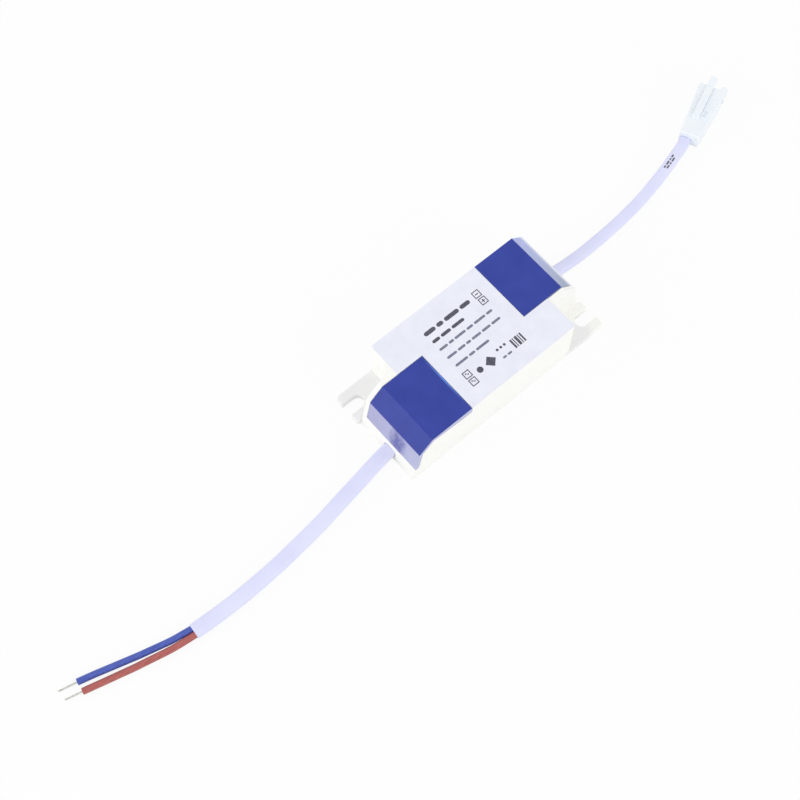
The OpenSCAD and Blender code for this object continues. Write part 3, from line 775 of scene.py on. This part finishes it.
def box_lines(x, y, size, line):
    """The four bars of a square's outline."""
    half = size / 2
    for side in (-1, 1):
        edge = side * (half - line / 2)
        yield rectangle(x - half, x + half, y + edge - line / 2, y + edge + line / 2)
        yield rectangle(x + edge - line / 2, x + edge + line / 2, y - half + line, y + half - line)


def terminal_sign(x, y, kind):
    """The outlines of a minus, a plus or a wave inside a terminal's box."""
    if kind == "wave":
        steps = [k / WAVE_STEPS for k in range(WAVE_STEPS + 1)]
        line = [(x + SIGN_LONG * (t - 0.5), y + WAVE_TALL * math.sin(2 * math.pi * t)) for t in steps]
        return [line + [(px, py + SIGN_THIN) for px, py in reversed(line)]]
    level = bar(x - SIGN_LONG / 2, y, SIGN_LONG, SIGN_THIN)
    if kind == "minus":
        return [level]
    left, right = x - SIGN_THIN / 2, x + SIGN_THIN / 2
    return [level] + [rectangle(left, right, y + side * SIGN_THIN / 2, y + side * SIGN_LONG / 2)
                      for side in (-1, 1)]


def printed(name, outlines, material):
    """Outlines printed on the label, as one thin piece."""
    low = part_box("rating_label")[1].z / MM
    shape = bmesh.new()
    for outline in outlines:
        slab(shape, outline, low, low + MARK_HEIGHT)
    return piece(name, finished(shape, name), material)


def bars_of(rows):
    """The bars of some rows."""
    return [bar(x, y, length, height) for y, height, bars in rows for x, length in bars]


def label_marks(dark, faded):
    """Rows of bars, terminal boxes and simple shapes on the label."""
    outlines = bars_of(TITLE_ROWS)
    for (x, y), kind in OUTPUT_BOXES + INPUT_BOXES:
        outlines += list(box_lines(x, y, BOX_SIZE, BOX_LINE))
        outlines += terminal_sign(x, y, kind)
    outlines.append(disc(*DIAMOND_AT, DIAMOND_SIZE, sides=4))
    outlines.append(disc(*SPOT_AT, SPOT_D))
    x, y = DOT_FIRST
    outlines += [disc(x + DOT_PITCH * k, y, DOT_D) for k in range(DOT_COUNT)]
    outlines += [rectangle(x, x + width, UPRIGHTS_LOW, UPRIGHTS_HIGH) for x, width in UPRIGHTS]
    printed("label_marks", outlines, dark)
    printed("label_rows", bars_of(BODY_ROWS), faded)


# Cable marks: two rows of short bars on the output cable, as (start along it, row's middle, length)

CABLE_MARKS = [
    (60.0, 0.4, 0.9), (61.3, 0.4, 1.5), (63.2, 0.4, 0.6), (64.2, 0.4, 1.0),
    (60.3, -0.4, 1.3), (62.0, -0.4, 0.7), (63.1, -0.4, 1.4),
]
CABLE_MARK_TALL = 0.5
# How far a mark reaches into the cable, and the fields of its grid across and along the cable
CABLE_MARK_ROOT = 0.05
MARK_ROWS, MARK_COLUMNS = 4, 6


def path_lengths(path):
    """How far along a path each of its points lies."""
    lengths = [0.0]
    for a, b in zip(path, path[1:]):
        lengths.append(lengths[-1] + (b - a).length / MM)
    return lengths


def on_skin(steps, lengths, along, aside, lift):
    """A point on the output cable's upper side, by its place along and across it, lifted off it."""
    i = next(k for k in range(len(lengths) - 1) if lengths[k + 1] >= along)
    share = (along - lengths[i]) / (lengths[i + 1] - lengths[i])
    point, _, across, up = (first.lerp(second, share) for first, second in zip(steps[i], steps[i + 1]))
    rise = (1 - abs(2 * aside / OUTPUT_WIDE) ** SHEATH_SQUARENESS) ** (1 / SHEATH_SQUARENESS)
    return point + (across * aside + up * (OUTPUT_THICK / 2 * rise + lift)) * MM


def rim(grid):
    """The outer points of a grid, in order round it."""
    return (grid[0] + [line[-1] for line in grid[1:]] + grid[-1][-2::-1]
            + [line[0] for line in grid[-2:0:-1]])


def cable_marks(path, material):
    """Short bars that follow the upper side of the output cable."""
    steps = list(frames_along(path))
    lengths = path_lengths(path)
    shape = bmesh.new()
    for start, row, length in CABLE_MARKS:
        alongs = [start + length * i / MARK_COLUMNS for i in range(MARK_COLUMNS + 1)]
        asides = [row + CABLE_MARK_TALL * (k / MARK_ROWS - 0.5) for k in range(MARK_ROWS + 1)]
        layers = []
        for lift in (-CABLE_MARK_ROOT, MARK_HEIGHT):
            grid = []
            for along in alongs:
                line = [on_skin(steps, lengths, along, aside, lift) for aside in asides]
                grid.append([shape.verts.new(point) for point in line])
            layers.append(grid)
        for grid in layers:
            for i in range(MARK_COLUMNS):
                for k in range(MARK_ROWS):
                    shape.faces.new((grid[i][k], grid[i + 1][k], grid[i + 1][k + 1], grid[i][k + 1]))
        low, high = (rim(grid) for grid in layers)
        for k in range(len(low)):
            after = (k + 1) % len(low)
            shape.faces.new((low[k], low[after], high[after], high[k]))
    return piece("cable_marks", finished(shape, "cable_marks"), material)


# Stage, in metres

WORLD_LIGHT = 0.86
LAMP_SIZE = 0.7
# Lamps as (name, place, power in watts)
LAMPS = [("left", (-0.83, 0.28, 0.36), 2.0), ("front", (0.25, -0.85, 0.45), 1.6)]
FLOOR_HALF = 3.0
FLOOR_GREY = 0.9
FLOOR_ROUGH = 0.9
# The share of plain white in the floor where it is seen
FLOOR_GLOW = 0.9


def add_camera():
    """The camera, at the photograph's viewing angle."""
    data = bpy.data.cameras.new("camera")
    data.angle = FIELD_OF_VIEW
    data.clip_start = NEAREST_SEEN
    camera = bpy.data.objects.new("camera", data)
    bpy.context.scene.collection.objects.link(camera)
    camera.location = CAMERA_AT
    camera.rotation_euler = (LOOK_AT - CAMERA_AT).to_track_quat("-Z", "Y").to_euler()
    bpy.context.scene.camera = camera


def seen_ray(tree):
    """1 for what the camera sees directly, or in gloss or through glass."""
    path = tree.nodes.new("ShaderNodeLightPath").outputs
    direct = math_node(tree, "MAXIMUM", path["Is Camera Ray"], path["Is Glossy Ray"])
    return math_node(tree, "MAXIMUM", direct, path["Is Transmission Ray"])


def add_world():
    """White where it is seen, and an even soft light elsewhere."""
    world = bpy.data.worlds.new("studio")
    bpy.context.scene.world = world
    world.use_nodes = True
    tree = world.node_tree
    soft = tree.nodes["Background"]
    soft.inputs["Color"].default_value = (1, 1, 1, 1)
    soft.inputs["Strength"].default_value = WORLD_LIGHT
    white = tree.nodes.new("ShaderNodeBackground")
    white.inputs["Color"].default_value = (1, 1, 1, 1)
    mix = tree.nodes.new("ShaderNodeMixShader")
    tree.links.new(seen_ray(tree), mix.inputs["Fac"])
    tree.links.new(soft.outputs["Background"], mix.inputs[1])
    tree.links.new(white.outputs["Background"], mix.inputs[2])
    tree.links.new(mix.outputs["Shader"], tree.nodes["World Output"].inputs["Surface"])


def add_lamp(name, place, power):
    """A soft square lamp that faces the part."""
    data = bpy.data.lights.new(name, "AREA")
    data.size = LAMP_SIZE
    data.energy = power
    lamp = bpy.data.objects.new(name, data)
    bpy.context.scene.collection.objects.link(lamp)
    lamp.location = place
    lamp.rotation_euler = (-Vector(place)).to_track_quat("-Z", "Y").to_euler()


def floor_paint():
    """A dull pale paint, near white where it is seen, which keeps a faint shadow."""
    mat = bpy.data.materials.new("floor")
    mat.use_nodes = True
    tree = mat.node_tree
    shader = tree.nodes["Principled BSDF"]
    shader.inputs["Base Color"].default_value = (FLOOR_GREY, FLOOR_GREY, FLOOR_GREY, 1)
    shader.inputs["Roughness"].default_value = FLOOR_ROUGH
    shader.inputs["Specular IOR Level"].default_value = 0.0
    glow = tree.nodes.new("ShaderNodeEmission")
    mix = tree.nodes.new("ShaderNodeMixShader")
    tree.links.new(math_node(tree, "MULTIPLY", seen_ray(tree), FLOOR_GLOW), mix.inputs["Fac"])
    tree.links.new(shader.outputs["BSDF"], mix.inputs[1])
    tree.links.new(glow.outputs["Emission"], mix.inputs[2])
    tree.links.new(mix.outputs["Shader"], tree.nodes["Material Output"].inputs["Surface"])
    return mat


def add_floor():
    """A wide level floor under the part."""
    mesh = bpy.data.meshes.new("floor")
    corners = rectangle(-FLOOR_HALF, FLOOR_HALF, -FLOOR_HALF, FLOOR_HALF)
    mesh.from_pydata([(x, y, 0) for x, y in corners], [], [(0, 1, 2, 3)])
    mesh.materials.append(floor_paint())
    floor = bpy.data.objects.new("floor", mesh)
    bpy.context.scene.collection.objects.link(floor)


# Camera and cords
add_camera()
sheath = cable_sheath()
input_ring = oval(INPUT_WIDE, INPUT_THICK, SHEATH_SIDES, SHEATH_SQUARENESS, INPUT_DIP)
input_sheath, input_path = tube("input_sheath", INPUT_ROUTE, input_ring, sheath,
                                "input_cable", SHEATH_EDGE)
output_ring = oval(OUTPUT_WIDE, OUTPUT_THICK, SHEATH_SIDES, SHEATH_SQUARENESS)
output_sheath, output_path = tube("output_sheath", OUTPUT_ROUTE, output_ring, sheath,
                                  "output_cable", SHEATH_EDGE)
core_ring = oval(CORE_D, CORE_D, CORE_SIDES)
blue_insulation = insulation("blue_insulation", dark=srgb(54, 72, 162), light=srgb(82, 102, 192))
blue_wire, blue_path = tube("blue_wire", BLUE_ROUTE, core_ring, blue_insulation,
                            "blue_core", CORE_EDGE, CORE_ROOT)
red_insulation = insulation("red_insulation", dark=srgb(160, 80, 75), light=srgb(186, 102, 97))
red_wire, red_path = tube("red_wire", RED_ROUTE, core_ring, red_insulation,
                          "red_core", CORE_EDGE, CORE_ROOT)
tin = tinned_copper()
blue_strands = strand_tip("blue_strands", BLUE_ROUTE[-1], BLUE_TIP, tin)
red_strands = strand_tip("red_strands", RED_ROUTE[-1], RED_TIP, tin)

# Case, covers and plug
rounded_copy("tray_shell", "base_tray", TRAY_ROUND, tray_plastic())
rounded_copy("cover_shell", "top_cover", TOP_ROUND, case_plastic("case_plastic"))
input_plastic = cover_plastic("input_lid", "input_cover", low_tint=srgb(180, 183, 219),
                              high_tint=srgb(167, 165, 213), change=painted_reflection)
rounded_copy("input_lid", "input_cover", LID_ROUND, input_plastic)
output_plastic = cover_plastic("output_lid", "output_cover", low_tint=srgb(155, 169, 193),
                               high_tint=srgb(175, 186, 245), change=painted_light)
rounded_copy("output_lid", "output_cover", LID_ROUND, output_plastic)
plug_shell = rounded_copy("plug_shell", "plug_housing", PLUG_ROUND, plug_nylon())

# Print on the label and the output cable
dark_ink = ink("dark_ink", dark=srgb(62, 63, 76), light=srgb(92, 93, 108))
faded_ink = ink("faded_ink", dark=srgb(104, 106, 126), light=srgb(134, 136, 158))
cable_ink = ink("cable_ink", dark=srgb(78, 78, 86), light=srgb(116, 116, 126))
label_marks(dark_ink, faded_ink)
cable_marks(output_path, cable_ink)

# Finishes of the nodes that keep their own shape
chip = chip_plastic()
sleeve = capacitor_sleeve()
lead = insulation("lead_insulation", dark=srgb(150, 38, 34), light=srgb(172, 50, 44))
tape = wound("winding_tape", dark=srgb(196, 150, 24), light=srgb(232, 190, 60), pitch=1.2, axis="X",
             rough=0.2)
choke = wound("choke_coat", dark=srgb(84, 44, 20), light=srgb(126, 70, 34), pitch=0.4, axis="Z",
              rough=0.25)
FINISHES = {
    "rating_label": label_film(),
    "input_label": blue_film("input_film", change=glinting),
    "output_label": blue_film("output_film"),
    "plug_contacts": contact_metal(),
    "circuit_board": board_laminate(),
    "transformer_core": ferrite(),
    "transformer_bobbin": bobbin_plastic(),
    "transformer_winding": tape,
    "input_capacitor": sleeve,
    "output_capacitor": sleeve,
    "bridge_rectifier": chip,
    "driver_chip": chip,
    "fuse_resistor": resistor_coat(),
    "filter_choke": choke,
    "output_diode": chip,
    "safety_capacitor": disc_coat(),
    "chip_resistors": chip,
    "input_leads": lead,
    "output_leads": lead,
}
for node, material in FINISHES.items():
    NODES[node].data.materials.clear()
    NODES[node].data.materials.append(material)

# Cord facts
exit_step = EXIT_POINT * SPAN_STEPS
tuple(input_path[exit_step])
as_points(input_path)
tuple(blue_path[0])
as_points(blue_path)
tuple(red_path[0])
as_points(red_path)
tuple(output_path[exit_step])
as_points(output_path)

# Stage
add_world()
for lamp_name, lamp_place, lamp_power in LAMPS:
    add_lamp(lamp_name, lamp_place, lamp_power)
add_floor()
bpy.context.scene.view_settings.view_transform = "Standard"
